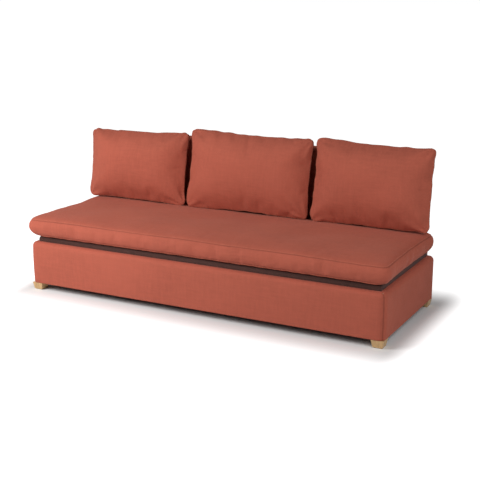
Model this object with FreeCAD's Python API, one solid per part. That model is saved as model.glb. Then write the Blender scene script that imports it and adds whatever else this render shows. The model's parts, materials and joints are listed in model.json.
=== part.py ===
"""Upholstered banquette: a padded base on short feet, a full-depth seat cushion and loose back cushions.

Millimetres. +X runs along the seat to the right, +Y to the back and +Z up.
The origin is on the floor, under the middle of the whole piece.
"""
import FreeCAD, Part
import math
import os

Vector = FreeCAD.Vector

# Overall sizes
LENGTH = 2100.0             # seat, end to end
BASE_DEPTH = 747.0          # base, front to back
BASE_TOP = 300.0            # where the seat cushion lies
FOOT_HEIGHT = 40.0          # floor to the underside of the base
SEAT_OVERHANG = 15.0        # seat cushion past the base, in front and at the ends
PLATFORM = 26.0             # set-back platform between the padded base and the seat cushion
PLATFORM_SETBACK = 35.0     # platform's cloth from the front and the ends of the base

# Upholstery
COVER = 3.0                 # fabric with its lining
FOAM = 15.0                 # padding on the rails and on the back board
DUST_CLOTH = 1.5
WEBBING = 2.0
WEBBING_WIDTH = 60.0
WEBBING_PITCH = 150.0
DECK_PAD = 8.0

# Base frame
RAIL = 32.0                 # thickness of every rail
DECK_BOARD_WIDTH = 70.0     # flat boards of the platform, which the webbing is fixed to
CROSS_RAIL_OFFSET = 85.0    # each cross rail stands this far outside an inner back post
WEBBING_ROOM = 60.0         # the straps may sag this far above a cross rail
BLOCK_LEG = 110.0           # corner blocks, along each rail
BLOCK_HEIGHT = 60.0
SCREW_RADIUS = 2.5
SCREW_LENGTH = 70.0
SCREW_HEAD_RADIUS = 5.0
SCREW_HEAD = 4.0
SCREW_RISE = 60.0           # screws sit this far from the rail's upper and lower edges

# Feet
FOOT_TOP = 64.0             # square, under the frame
FOOT_BOTTOM = 50.0          # square, at the glide
GLIDE_RADIUS = 18.0
GLIDE_HEIGHT = 3.0
BOLT_RADIUS = 4.0
BOLT_IN_FOOT = 24.0
BOLT_IN_BLOCK = 40.0        # above the foot
INSERT_RADIUS = 6.0
INSERT_LENGTH = 16.0

# Back frame
BACK_SETBACK = 80.0         # the back stops short of each end of the base
BACK_TOP = 800.0            # hidden behind the loose cushions
BACK_UNDERSIDE = 60.0
BACK_CORNER = 28.0          # upper corners, seen from the front
POST_WIDTH = 45.0
POST_DEPTH = 34.0
BACK_BOARD = 5.0
BACK_POSTS = 4
BACK_BOLT_ROOM = 15.0       # between a nut and the nearest edge of the timber
BACK_HEAD_RADIUS = 8.0
BACK_HEAD = 5.0
NUT_RADIUS = 10.0
NUT = 4.0

# Cushions
REST_GAP = 0.3              # soft pieces stay this far from what carries them
SEAT_THICKNESS = 130.0
SEAT_CORNER = 45.0
SEAT_ROLL = 42.0            # rounded edge, measured inwards
SEAT_CROWN = 9.0
SEAT_CROWN_SPREAD = 0.35    # share of the way in to the middle over which the crown rises
SEAT_PULL = 9.0             # sides drawn in between the corners
SIDE_CUSHION_WIDTH = 660.0  # outer back cushions; the one between them takes the rest of the length
BACK_CUSHION_GAP = 14.0     # between neighbours
BACK_CUSHION_HEIGHT = 440.0
BACK_CUSHION_THICKNESS = 175.0
BACK_CUSHION_CORNER = 48.0
BACK_CUSHION_ROLL = 82.0
BACK_CUSHION_CROWN = 26.0
BACK_CUSHION_CROWN_SPREAD = 0.6
BACK_CUSHION_PULL = 8.0
BACK_CUSHION_LEAN = 9.0     # degrees, top towards the back
WRAP = 12.0                 # cover and fibre wrap round a core
ROLL_STEPS = 6              # facets in each rounded edge
SEAT_ZIP_LENGTH = 1200.0
BACK_ZIP_LENGTH = 360.0
ZIP_WIDTH = 9.0
ZIP_PROUD = 1.5

# Places worked out from the sizes above
HALF = LENGTH / 2
BACK_DEPTH = POST_DEPTH + COVER
DEPTH = SEAT_OVERHANG + BASE_DEPTH + BACK_DEPTH
SEAT_FRONT = -DEPTH / 2
BASE_FRONT = SEAT_FRONT + SEAT_OVERHANG
BASE_REAR = BASE_FRONT + BASE_DEPTH
PADDING = FOAM + COVER
BASE_CORNER = 2 * PADDING
BASE_HALF = HALF - SEAT_OVERHANG
BOX_TOP = BASE_TOP - PLATFORM
SEAM_INSET = PLATFORM_SETBACK + COVER
FRAME_X = BASE_HALF - PADDING
FRAME_FRONT = BASE_FRONT + PADDING
FRAME_REAR = BASE_REAR - COVER
FRAME_BOTTOM = FOOT_HEIGHT + DUST_CLOTH
PAD_BOTTOM = BASE_TOP - COVER - DECK_PAD
BOARD_TOP = PAD_BOTTOM - WEBBING
BOARD_X = BASE_HALF - SEAM_INSET
BOARD_FRONT = BASE_FRONT + SEAM_INSET
RAIL_TOP = BOX_TOP - COVER
RAIL_INSIDE_X = FRAME_X - RAIL
RAIL_INSIDE_FRONT = FRAME_FRONT + RAIL
RAIL_INSIDE_REAR = FRAME_REAR - RAIL
FOOT_X = FRAME_X - RAIL / 2
FOOT_FRONT = FRAME_FRONT + RAIL / 2
FOOT_REAR = FRAME_REAR - RAIL / 2
BACK_HALF = HALF - BACK_SETBACK
BACK_FRAME_X = BACK_HALF - COVER
BACK_FACE = BASE_REAR - BACK_BOARD - FOAM - COVER
POST_X = BACK_FRAME_X - POST_WIDTH / 2
POST_PLACES = [POST_X * (2 * index / (BACK_POSTS - 1) - 1) for index in range(BACK_POSTS)]
CROSS_RAIL_X = max(POST_PLACES[1:-1]) + CROSS_RAIL_OFFSET
POST_LOW = BACK_UNDERSIDE + POST_WIDTH
POST_HIGH = BACK_TOP - COVER - POST_WIDTH
BACK_BOLT_LOW = max(POST_LOW, FRAME_BOTTOM + BLOCK_HEIGHT) + BACK_BOLT_ROOM + NUT_RADIUS
BACK_BOLT_HIGH = RAIL_TOP - BACK_BOLT_ROOM - NUT_RADIUS
SEAT_REAR = BACK_FACE - REST_GAP
SEAT_DEPTH = SEAT_REAR - SEAT_FRONT
SEAT_TOP = BASE_TOP + REST_GAP + SEAT_THICKNESS
SEAT_PLACE = Vector(0, (SEAT_FRONT + SEAT_REAR) / 2, SEAT_TOP - SEAT_THICKNESS / 2)
CENTRE_CUSHION_WIDTH = LENGTH - 2 * (SIDE_CUSHION_WIDTH + BACK_CUSHION_GAP)
SIDE_CUSHION_X = (CENTRE_CUSHION_WIDTH + SIDE_CUSHION_WIDTH) / 2 + BACK_CUSHION_GAP
BACK_CUSHIONS = {"left": (SIDE_CUSHION_WIDTH, -SIDE_CUSHION_X), "centre": (CENTRE_CUSHION_WIDTH, 0),
                 "right": (SIDE_CUSHION_WIDTH, SIDE_CUSHION_X)}
MARGIN = 1.0                # cutting shapes run past what they cut


def box(x0, x1, y0, y1, z0, z1):
    return Part.makeBox(x1 - x0, y1 - y0, z1 - z0, Vector(x0, y0, z0))


def prism(points, z0, z1):
    """Upright prism over a polygon of (x, y) points."""
    corners = [Vector(x, y, z0) for x, y in points]
    face = Part.Face(Part.makePolygon(corners + corners[:1]))
    return face.extrude(Vector(0, 0, z1 - z0))


def group(solids):
    """Separate solids of one kind, kept together under one name."""
    return Part.makeCompound(solids)


def save(name, shape):
    shape.exportStep(os.path.join("parts", name + ".step"))


def padded_block(half_width, rear, front, low, high, corner, edge):
    """Block with two rounded upright corners in front and a rounded upper edge, square at the back.

    Made with its front towards +Y, which suits either use after a turn.
    """
    slant = corner * math.sqrt(0.5)
    near = front - corner
    side = half_width - corner
    points = [Vector(-half_width, rear, low), Vector(half_width, rear, low), Vector(half_width, near, low)]
    right_mid = Vector(side + slant, near + slant, low)
    left_mid = Vector(-side - slant, near + slant, low)
    right_end = Vector(side, front, low)
    left_end = Vector(-side, front, low)
    left_start = Vector(-half_width, near, low)
    edges = [
        Part.makeLine(points[0], points[1]),
        Part.makeLine(points[1], points[2]),
        Part.Arc(points[2], right_mid, right_end).toShape(),
        Part.makeLine(right_end, left_end),
        Part.Arc(left_end, left_mid, left_start).toShape(),
        Part.makeLine(left_start, points[0]),
    ]
    block = Part.Face(Part.Wire(edges)).extrude(Vector(0, 0, high - low))
    rounded = []
    for line in block.Edges:
        extent = line.BoundBox
        if extent.ZMin > high - MARGIN and extent.YMax > rear + MARGIN:
            rounded.append(line)
    return block.makeFillet(edge, rounded)


def base_block(inset, floor):
    """Outer form of the base, or the form left inside it by an inset."""
    block = padded_block(BASE_HALF - inset, -BASE_REAR + inset, -BASE_FRONT - inset, floor, BOX_TOP - inset,
                         BASE_CORNER - inset, PADDING - inset)
    block.rotate(Vector(0, 0, 0), Vector(0, 0, 1), 180)
    return block


def back_block(inset, floor, rear):
    """Outer form of the back above the base, or the form left inside it by an inset."""
    block = padded_block(BACK_HALF - inset, floor, BACK_TOP - inset, -rear, -BACK_FACE - inset,
                         BACK_CORNER - inset, PADDING - inset)
    block.rotate(Vector(0, 0, 0), Vector(1, 0, 0), 90)
    return block


def border_regions():
    """Upright prisms that part the base's skin at mitred corner seams."""
    left, right = -BASE_HALF - MARGIN, BASE_HALF + MARGIN
    front, rear = BASE_FRONT - MARGIN, FRAME_REAR
    inner_left, inner_right, inner_front = -BOARD_X, BOARD_X, BOARD_FRONT
    footprints = {
        "front": [(left, front), (right, front), (inner_right, inner_front), (inner_left, inner_front)],
        "right_end": [(right, front), (right, rear), (inner_right, rear), (inner_right, inner_front)],
        "left_end": [(left, rear), (left, front), (inner_left, inner_front), (inner_left, rear)],
    }
    return {name: prism(footprint, 0, BASE_TOP) for name, footprint in footprints.items()}


def feet_places():
    """Name and middle of each foot, with the signs that point to its corner."""
    places = []
    for row, y, toward in (("front", FOOT_FRONT, -1), ("rear", FOOT_REAR, 1)):
        for side, sign in (("left", -1), ("right", 1)):
            places.append((row + "_" + side, sign * FOOT_X, y, sign, toward))
    return places


def back_bolt_places():
    """X and Z of every bolt through a back post."""
    places = []
    for x in POST_PLACES:
        for z in (BACK_BOLT_LOW, BACK_BOLT_HIGH):
            places.append((x, z))
    return places


def rod(radius, start, end):
    """Round bar from one point to another."""
    along = end - start
    return Part.makeCylinder(radius, along.Length, start, along)


def frame_screws():
    """Screws through the long rails into the ends of the end rails."""
    screws = []
    for sign in (-1, 1):
        x = sign * (FRAME_X - RAIL / 2)
        for y, inward in ((FRAME_FRONT, 1), (FRAME_REAR, -1)):
            for z in (FRAME_BOTTOM + SCREW_RISE, RAIL_TOP - SCREW_RISE):
                head_end = Vector(x, y + inward * SCREW_HEAD, z)
                head = rod(SCREW_HEAD_RADIUS, Vector(x, y, z), head_end)
                shank = rod(SCREW_RADIUS, head_end, Vector(x, y + inward * SCREW_LENGTH, z))
                screws.append(head.fuse(shank))
    return screws


def back_bolts():
    bolts = []
    rear = BASE_REAR + POST_DEPTH
    nose = RAIL_INSIDE_REAR - NUT
    for x, z in back_bolt_places():
        head = rod(BACK_HEAD_RADIUS, Vector(x, rear, z), Vector(x, rear - BACK_HEAD, z))
        shank = rod(BOLT_RADIUS, Vector(x, rear - BACK_HEAD, z), Vector(x, nose, z))
        bolts.append(head.fuse(shank))
    return bolts


def back_nuts():
    nuts = []
    for x, z in back_bolt_places():
        start = Vector(x, RAIL_INSIDE_REAR, z)
        end = Vector(x, RAIL_INSIDE_REAR - NUT, z)
        nuts.append(rod(NUT_RADIUS, start, end).cut(rod(BOLT_RADIUS, start, end)))
    return nuts


def foot_bolts():
    bolts = []
    for _, x, y, _, _ in feet_places():
        low = Vector(x, y, FOOT_HEIGHT - BOLT_IN_FOOT)
        bolts.append(rod(BOLT_RADIUS, low, Vector(x, y, FRAME_BOTTOM + BOLT_IN_BLOCK)))
    return bolts


def foot_inserts():
    inserts = []
    for _, x, y, _, _ in feet_places():
        low = Vector(x, y, FRAME_BOTTOM)
        high = Vector(x, y, FRAME_BOTTOM + INSERT_LENGTH)
        inserts.append(rod(INSERT_RADIUS, low, high).cut(rod(BOLT_RADIUS, low, high)))
    return inserts


def build_base_frame():
    screws = group(frame_screws())
    bolts = group(back_bolts())
    fixings = group(frame_screws() + foot_bolts() + foot_inserts())
    long_rail = box(-FRAME_X, FRAME_X, FRAME_FRONT, RAIL_INSIDE_FRONT, FRAME_BOTTOM, RAIL_TOP)
    save("front_rail", long_rail.cut(fixings).common(base_block(COVER, FOOT_HEIGHT)))
    long_rail = box(-FRAME_X, FRAME_X, RAIL_INSIDE_REAR, FRAME_REAR, FRAME_BOTTOM, RAIL_TOP)
    save("rear_rail", long_rail.cut(fixings).cut(bolts))
    for side, x0, x1 in (("left", -FRAME_X, -RAIL_INSIDE_X), ("right", RAIL_INSIDE_X, FRAME_X)):
        rail = box(x0, x1, RAIL_INSIDE_FRONT, RAIL_INSIDE_REAR, FRAME_BOTTOM, RAIL_TOP)
        save(side + "_end_rail", rail.cut(screws))
    cross_rails = []
    for sign in (-1, 1):
        x = sign * CROSS_RAIL_X
        cross_rails.append(box(x - RAIL / 2, x + RAIL / 2, RAIL_INSIDE_FRONT, RAIL_INSIDE_REAR,
                               FRAME_BOTTOM, RAIL_TOP - WEBBING_ROOM))
    save("cross_rails", group(cross_rails))
    save("frame_screws", screws)
    save("corner_blocks", group(corner_blocks()))


def corner_blocks():
    """Three-cornered blocks that brace the frame's corners."""
    blocks = []
    for _, _, _, sign, toward in feet_places():
        corner_x = sign * RAIL_INSIDE_X
        corner_y = RAIL_INSIDE_FRONT if toward < 0 else RAIL_INSIDE_REAR
        footprint = [(corner_x, corner_y), (corner_x - sign * BLOCK_LEG, corner_y),
                     (corner_x, corner_y - toward * BLOCK_LEG)]
        blocks.append(prism(footprint, FRAME_BOTTOM, FRAME_BOTTOM + BLOCK_HEIGHT))
    return blocks


def build_feet():
    bolts = group(foot_bolts())
    glides = []
    for name, x, y, _, _ in feet_places():
        sections = []
        for size, z in ((FOOT_BOTTOM, GLIDE_HEIGHT), (FOOT_TOP, FOOT_HEIGHT)):
            reach = size / 2
            corners = [Vector(x - reach, y - reach, z), Vector(x + reach, y - reach, z),
                       Vector(x + reach, y + reach, z), Vector(x - reach, y + reach, z)]
            sections.append(Part.makePolygon(corners + corners[:1]))
        save("foot_" + name, Part.makeLoft(sections, True, True).cut(bolts))
        glides.append(rod(GLIDE_RADIUS, Vector(x, y, 0), Vector(x, y, GLIDE_HEIGHT)))
    save("foot_glides", group(glides))
    save("foot_bolts", bolts)
    save("foot_inserts", group(foot_inserts()))


def build_deck():
    """The platform's boards with webbing and a felt pad on them, and thin cloth under the frame."""
    inner_x = BOARD_X - DECK_BOARD_WIDTH
    inner_front, inner_rear = BOARD_FRONT + DECK_BOARD_WIDTH, FRAME_REAR - DECK_BOARD_WIDTH
    layer = (RAIL_TOP, BOARD_TOP)
    save("deck_long_boards", group([box(-BOARD_X, BOARD_X, BOARD_FRONT, inner_front, *layer),
                                    box(-BOARD_X, BOARD_X, inner_rear, FRAME_REAR, *layer)]))
    save("deck_short_boards", group([box(-BOARD_X, -inner_x, inner_front, inner_rear, *layer),
                                     box(inner_x, BOARD_X, inner_front, inner_rear, *layer)]))
    room = BOARD_X - WEBBING_WIDTH
    count = 2 * int(room / WEBBING_PITCH) + 1
    straps = []
    for index in range(count):
        x = (index - (count - 1) / 2) * WEBBING_PITCH
        straps.append(box(x - WEBBING_WIDTH / 2, x + WEBBING_WIDTH / 2, BOARD_FRONT, FRAME_REAR,
                          BOARD_TOP, PAD_BOTTOM))
    save("webbing_straps", group(straps))
    save("deck_pad", box(-BOARD_X, BOARD_X, BOARD_FRONT, FRAME_REAR, PAD_BOTTOM, PAD_BOTTOM + DECK_PAD))
    dust = box(-FRAME_X, FRAME_X, FRAME_FRONT, FRAME_REAR, FOOT_HEIGHT, FRAME_BOTTOM)
    save("dust_cover", dust.cut(group(foot_bolts())))


def build_base_upholstery():
    regions = border_regions()
    outer = base_block(0, FOOT_HEIGHT)
    skin = outer.cut(base_block(COVER, FOOT_HEIGHT - MARGIN))
    core = box(-FRAME_X, FRAME_X, FRAME_FRONT, BASE_REAR, FOOT_HEIGHT - MARGIN, BOX_TOP)
    padding = base_block(COVER, FOOT_HEIGHT).cut(core)
    for name, region in regions.items():
        save(name + "_cover", skin.common(region))
        save(name + "_foam", padding.common(region))
    deck_x = BASE_HALF - PLATFORM_SETBACK
    layer = box(-BASE_HALF, BASE_HALF, FRAME_REAR, BASE_REAR, FOOT_HEIGHT, BASE_TOP)
    upper = box(-deck_x, deck_x, FRAME_REAR, BASE_REAR, BOX_TOP, BASE_TOP)
    rear = outer.common(layer).fuse(upper).removeSplitter()
    save("rear_cover", rear.cut(group(back_bolts())))
    cloth = box(-deck_x, deck_x, BASE_FRONT + PLATFORM_SETBACK, FRAME_REAR, BOX_TOP, BASE_TOP)
    inside = box(-BOARD_X, BOARD_X, BOARD_FRONT, FRAME_REAR, BOX_TOP, BASE_TOP - COVER)
    save("deck_cloth", cloth.cut(inside))


def build_back():
    bolts = group(back_bolts())
    post_front, post_rear = BASE_REAR, BASE_REAR + POST_DEPTH
    posts = []
    for x in POST_PLACES:
        post = box(x - POST_WIDTH / 2, x + POST_WIDTH / 2, post_front, post_rear, POST_LOW, POST_HIGH)
        posts.append(post.cut(bolts))
    save("back_post_left", posts[0])
    save("back_inner_posts", group(posts[1:-1]))
    save("back_post_right", posts[-1])
    hollow = back_block(COVER, BASE_TOP - MARGIN, post_rear + MARGIN)
    across = (-BACK_FRAME_X, BACK_FRAME_X, post_front, post_rear)
    save("back_bottom_rail", box(*across, BACK_UNDERSIDE, POST_LOW))
    save("back_top_rail", box(*across, POST_HIGH, BACK_TOP - COVER).common(hollow))
    save("back_bolts", bolts)
    save("back_nuts", group(back_nuts()))
    board_front = BASE_REAR - BACK_BOARD
    inside = back_block(COVER, BASE_TOP, post_rear + MARGIN)
    reach = (-BACK_HALF, BACK_HALF)
    save("back_board", inside.common(box(*reach, board_front, BASE_REAR, BASE_TOP, BACK_TOP)))
    save("back_foam", inside.common(box(*reach, BACK_FACE, board_front, BASE_TOP, BACK_TOP)))
    shell = back_block(0, BASE_TOP, post_rear).cut(hollow)
    for x0, x1 in ((-BACK_HALF, -BACK_FRAME_X), (BACK_FRAME_X, BACK_HALF)):
        shell = shell.fuse(box(x0, x1, post_front, post_rear, BACK_UNDERSIDE, BASE_TOP))
    save("inside_back_cover", shell.removeSplitter())
    rear = back_block(0, BACK_UNDERSIDE, post_rear + COVER)
    layer = box(*reach, post_rear, post_rear + COVER, BACK_UNDERSIDE, BACK_TOP)
    save("outside_back_cover", rear.common(layer))


def outline(half_x, half_y, corner, pull, z):
    """Closed outline with round corners, whose sides are drawn in between them."""
    side_x, side_y = half_x - corner, half_y - corner
    slant = corner * math.sqrt(0.5)
    edges = []
    for turn in range(4):
        across, along = (half_y, side_x) if turn % 2 == 0 else (half_x, side_y)
        next_side = side_y if turn % 2 == 0 else side_x
        local = [(-along, -across), (0, -across + pull), (along, -across),
                 (along + slant, -next_side - slant), (along + corner, -next_side)]
        points = []
        for u, v in local:
            x, y = u, v
            for _ in range(turn):
                x, y = -y, x
            points.append(Vector(x, y, z))
        edges.append(Part.Arc(points[0], points[1], points[2]).toShape())
        edges.append(Part.Arc(points[2], points[3], points[4]).toShape())
    return Part.Wire(edges)


def cushion(size_x, size_y, thickness, corner, roll, crown, spread, pull, flat_below=False):
    """Crowned cushion, lying flat about z = 0, with its fullest outline at mid height."""
    half = thickness / 2
    narrow = min(size_x, size_y) / 2
    profile = []
    for index in range(ROLL_STEPS + 1):
        angle = math.pi / 2 * index / ROLL_STEPS
        profile.append((roll * (1 - math.cos(angle)), math.sin(angle)))
    sections = [(inset, rise * (half - crown)) for inset, rise in profile]
    sections.append((roll + spread * (narrow - roll), half))
    if flat_below:
        below = [(inset, -rise * half) for inset, rise in profile]
    else:
        below = [(inset, -z) for inset, z in sections]
    wires = []
    for inset, z in below[:0:-1] + sections:
        eased = corner * (1 - inset / narrow)
        wires.append(outline(size_x / 2 - inset, size_y / 2 - inset, eased, pull, z))
    return Part.makeLoft(wires, True, True)


def zip_strip(size_x, size_y, corner, pull, length, toward_rear):
    """Thin closed zip that lies along one side of a cushion at mid height."""
    half = ZIP_WIDTH / 2
    bands = []
    for grow in (REST_GAP, REST_GAP + ZIP_PROUD):
        ring = outline(size_x / 2 + grow, size_y / 2 + grow, corner + grow, pull, -half)
        bands.append(Part.Face(ring).extrude(Vector(0, 0, ZIP_WIDTH)))
    y0, y1 = (0, size_y) if toward_rear else (-size_y, 0)
    side = box(-length / 2, length / 2, y0, y1, -half, half)
    return bands[1].cut(bands[0]).common(side)


def seat_form():
    """The seat cushion's outer form and its core, in place."""
    form = (SEAT_CORNER, SEAT_ROLL, SEAT_CROWN, SEAT_CROWN_SPREAD, SEAT_PULL)
    shapes = []
    for inset in (0, WRAP):
        sizes = [size - 2 * inset for size in (LENGTH, SEAT_DEPTH, SEAT_THICKNESS)]
        shape = cushion(*sizes, *form, flat_below=True)
        shape.translate(SEAT_PLACE)
        shapes.append(shape)
    return shapes


def build_seat_cushion():
    body, core = seat_form()
    strip = zip_strip(LENGTH, SEAT_DEPTH, SEAT_CORNER, SEAT_PULL, SEAT_ZIP_LENGTH, True)
    strip.translate(SEAT_PLACE)
    save("seat_cushion", body.cut(core))
    save("seat_cushion_core", core)
    save("seat_cushion_zip", strip)


def back_cushion_pieces(width):
    """Cover, core and zip of one back cushion, leaning back about the origin."""
    form = (BACK_CUSHION_CORNER, BACK_CUSHION_ROLL, BACK_CUSHION_CROWN, BACK_CUSHION_CROWN_SPREAD,
            BACK_CUSHION_PULL)
    height, thickness = BACK_CUSHION_HEIGHT, BACK_CUSHION_THICKNESS
    body = cushion(width, height, thickness, *form)
    core = cushion(width - 2 * WRAP, height - 2 * WRAP, thickness - 2 * WRAP, *form)
    strip = zip_strip(width, height, BACK_CUSHION_CORNER, BACK_CUSHION_PULL, BACK_ZIP_LENGTH, False)
    for shape in (body, core, strip):
        shape.rotate(Vector(0, 0, 0), Vector(1, 0, 0), 90 - BACK_CUSHION_LEAN)
    return body, core, strip


def build_back_cushions():
    """Each cushion stands on the seat's crown and leans its top on the back panel."""
    seat = seat_form()[0]
    for side, (width, x) in BACK_CUSHIONS.items():
        body, core, strip = back_cushion_pieces(width)
        extent = body.optimalBoundingBox(False, False)
        place = Vector(x, BACK_FACE - REST_GAP - extent.YMax, SEAT_TOP + REST_GAP - extent.ZMin)
        trial = body.copy()
        trial.translate(place)
        place.z -= trial.distToShape(seat)[0] - REST_GAP
        for suffix, shape in (("", body.cut(core)), ("_core", core), ("_zip", strip)):
            shape.translate(place)
            save("back_cushion_" + side + suffix, shape)


def main():
    os.makedirs("parts", exist_ok=True)
    build_base_frame()
    build_feet()
    build_deck()
    build_base_upholstery()
    build_back()
    build_seat_cushion()
    build_back_cushions()


main()
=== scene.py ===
import json
import math

import bpy
import numpy as np
from mathutils import Matrix, Vector
from mathutils.bvhtree import BVHTree


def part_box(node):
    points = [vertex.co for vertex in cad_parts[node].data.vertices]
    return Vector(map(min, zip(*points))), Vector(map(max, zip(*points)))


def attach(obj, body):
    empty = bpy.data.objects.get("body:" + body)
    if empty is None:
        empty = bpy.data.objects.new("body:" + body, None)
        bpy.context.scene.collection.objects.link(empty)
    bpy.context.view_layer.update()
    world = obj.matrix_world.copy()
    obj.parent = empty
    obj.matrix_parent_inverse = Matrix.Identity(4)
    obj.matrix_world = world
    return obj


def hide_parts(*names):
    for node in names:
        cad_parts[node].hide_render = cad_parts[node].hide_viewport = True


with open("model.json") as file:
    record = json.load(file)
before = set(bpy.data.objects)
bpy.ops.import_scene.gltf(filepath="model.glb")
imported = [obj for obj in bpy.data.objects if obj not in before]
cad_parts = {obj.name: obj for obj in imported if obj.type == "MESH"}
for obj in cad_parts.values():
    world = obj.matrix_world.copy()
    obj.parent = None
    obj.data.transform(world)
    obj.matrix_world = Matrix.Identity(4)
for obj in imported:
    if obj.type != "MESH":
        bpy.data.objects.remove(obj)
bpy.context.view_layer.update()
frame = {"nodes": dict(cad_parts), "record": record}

nodes = frame["nodes"]
scene = bpy.context.scene

# Sizes in metres
BASE_LOW, BASE_HIGH, DECK_TOP = 0.040, 0.274, 0.300
BASE_FRONT, BASE_REAR = -0.3845, 0.3625
HALF, BASE_HALF = 1.05, 1.035
BASE_CORNER = 0.036
PADDING = 0.018
BASE_ROUND = 0.024
TURN_IN = 0.0348
BACK_HALF = 0.970
BACK_TOP = 0.800
BACK_UNDERSIDE = 0.060
BACK_FACE, BACK_REAR = 0.3395, 0.3995
BACK_CORNER = 0.028
LEAN = math.radians(9)
SEAT_SIZE = (2.100, 0.7387, 0.130)
BACK_HEIGHT, BACK_THICKNESS = 0.440, 0.175
# How far the upper edge of each back cushion has sunk, at its left and at its right end
SLUMP = {"left": (0.038, 0.024), "centre": (-0.003, 0.003), "right": (-0.009, 0.005)}
# Middles of the three places on the seat that are sat on most
SEAT_PLACES = (-0.70, 0.0, 0.70)
# How far the lower edges of the back cushions settle, and the heights between which the seat is looked for
SETTLED = 0.006
SEAT_SEARCH = (0.47, 0.70)
STITCH_PITCH, STITCH_LENGTH, STITCH_RADIUS, STITCH_OFFSET = 0.0085, 0.0060, 0.0008, 0.006
DECK_STITCH_EDGE = 0.014
ZIP_PITCH = 0.004
# The back cushions' zips lie this much further to the rear than their nodes
ZIP_REARWARD = 0.026
# Grid places run from -1 to 1, and those past this lie on a box's outer face
OUTER = 0.9999
# Gaps at a turned-in fold, between touching covers, and between the seat and what stands on it
FOLD_GAP, REST_GAP, SEAT_GAP = 0.0004, 0.0006, 0.0008
# How far the platform's cloth reaches below its node, over the edge of the felt
DECK_SKIRT = 0.008

# Studio
KEY_PLACE, KEY_POWER = (-1.6, -1.95, 1.7), 65
FILL_PLACE, FILL_POWER = (2.8, -1.5, 2.2), 40
LAMP_AIM, LAMP_SIZE = (-0.2, 0.0, 0.35), 1.8
WORLD_LIGHT = 0.10
FLOOR_REACH = 60.0
FLOOR_GLOW = 0.96
FLOOR_TONE = (0.88, 0.88, 0.88, 1)
# The floor fades to white over this distance from the object, taken as a box with this half depth.
# The distance counts for more at the sides than in front and behind.
SHADOW_REACH = 0.24
SHADOW_DEPTH = 0.38
SHADOW_SIDE, SHADOW_FRONT = 1.35, 0.65
CAMERA_PLACE = (2.4834, -4.6036, 1.6893)
CAMERA_DOWN, CAMERA_ROUND = 14.68, 27.61
FOCAL_PIXELS, PICTURE_PIXELS, SENSOR = 1002.4, 480, 36


# Materials

class Shader:
    """A node material, with short ways to add and join its nodes."""

    def __init__(self, name):
        self.material = bpy.data.materials.new(name)
        self.material.use_nodes = True
        self.tree = self.material.node_tree
        self.surface = self.tree.nodes["Principled BSDF"]

    def node(self, kind, **values):
        made = self.tree.nodes.new("ShaderNode" + kind)
        for key, value in values.items():
            setattr(made, key, value)
        return made

    def join(self, source, target):
        self.tree.links.new(source, target)

    def put(self, socket, value):
        if isinstance(value, bpy.types.NodeSocket):
            self.join(value, socket)
        else:
            socket.default_value = value

    def math(self, operation, first, second=0.0, third=0.0):
        made = self.node("Math", operation=operation)
        for socket, value in zip(made.inputs, (first, second, third)):
            self.put(socket, value)
        return made.outputs[0]

    def mix(self, factor, first, second, blend="MIX"):
        made = self.node("Mix", data_type="RGBA", blend_type=blend)
        self.put(made.inputs["Factor"], factor)
        self.put(made.inputs["A"], first)
        self.put(made.inputs["B"], second)
        return made.outputs["Result"]

    def place(self, scale):
        """Object coordinates, stretched by a scale for each axis."""
        where = self.node("TexCoord").outputs["Object"]
        mapping = self.node("Mapping")
        mapping.inputs["Scale"].default_value = scale
        self.join(where, mapping.inputs["Vector"])
        return mapping.outputs["Vector"]

    def noise(self, scale, stretch, detail, rough):
        made = self.node("TexNoise")
        made.inputs["Scale"].default_value = scale
        made.inputs["Detail"].default_value = detail
        made.inputs["Roughness"].default_value = rough
        self.join(self.place(stretch), made.inputs["Vector"])
        return made.outputs["Fac"]

    def range(self, value, low, high):
        """A value from 0 to 1, taken to another range."""
        made = self.node("MapRange")
        self.put(made.inputs["Value"], value)
        made.inputs["To Min"].default_value = low
        made.inputs["To Max"].default_value = high
        return made.outputs["Result"]

    def bump(self, height, distance, strength, below=None):
        made = self.node("Bump")
        made.inputs["Distance"].default_value = distance
        made.inputs["Strength"].default_value = strength
        self.join(height, made.inputs["Height"])
        if below is not None:
            self.join(below, made.inputs["Normal"])
        return made.outputs["Normal"]

    def weave(self, pitch):
        """Crossing threads on any face, whichever way it looks, from -1 to 1."""
        parts = self.node("SeparateXYZ")
        self.join(self.node("TexCoord").outputs["Object"], parts.inputs[0])
        facing = self.node("SeparateXYZ")
        self.join(self.node("TexCoord").outputs["Normal"], facing.inputs[0])
        waves = [self.math("SINE", self.math("MULTIPLY", parts.outputs[axis], 2 * math.pi / pitch))
                 for axis in range(3)]
        total = None
        for axis in range(3):
            others = [index for index in range(3) if index != axis]
            crossing = self.math("MULTIPLY", waves[others[0]], waves[others[1]])
            share = self.math("MULTIPLY", facing.outputs[axis], facing.outputs[axis])
            layer = self.math("MULTIPLY", crossing, share)
            total = layer if total is None else self.math("ADD", total, layer)
        return total


def tint(colour, factor):
    return tuple(min(1.0, channel * factor) for channel in colour) + (1.0,)


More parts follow.
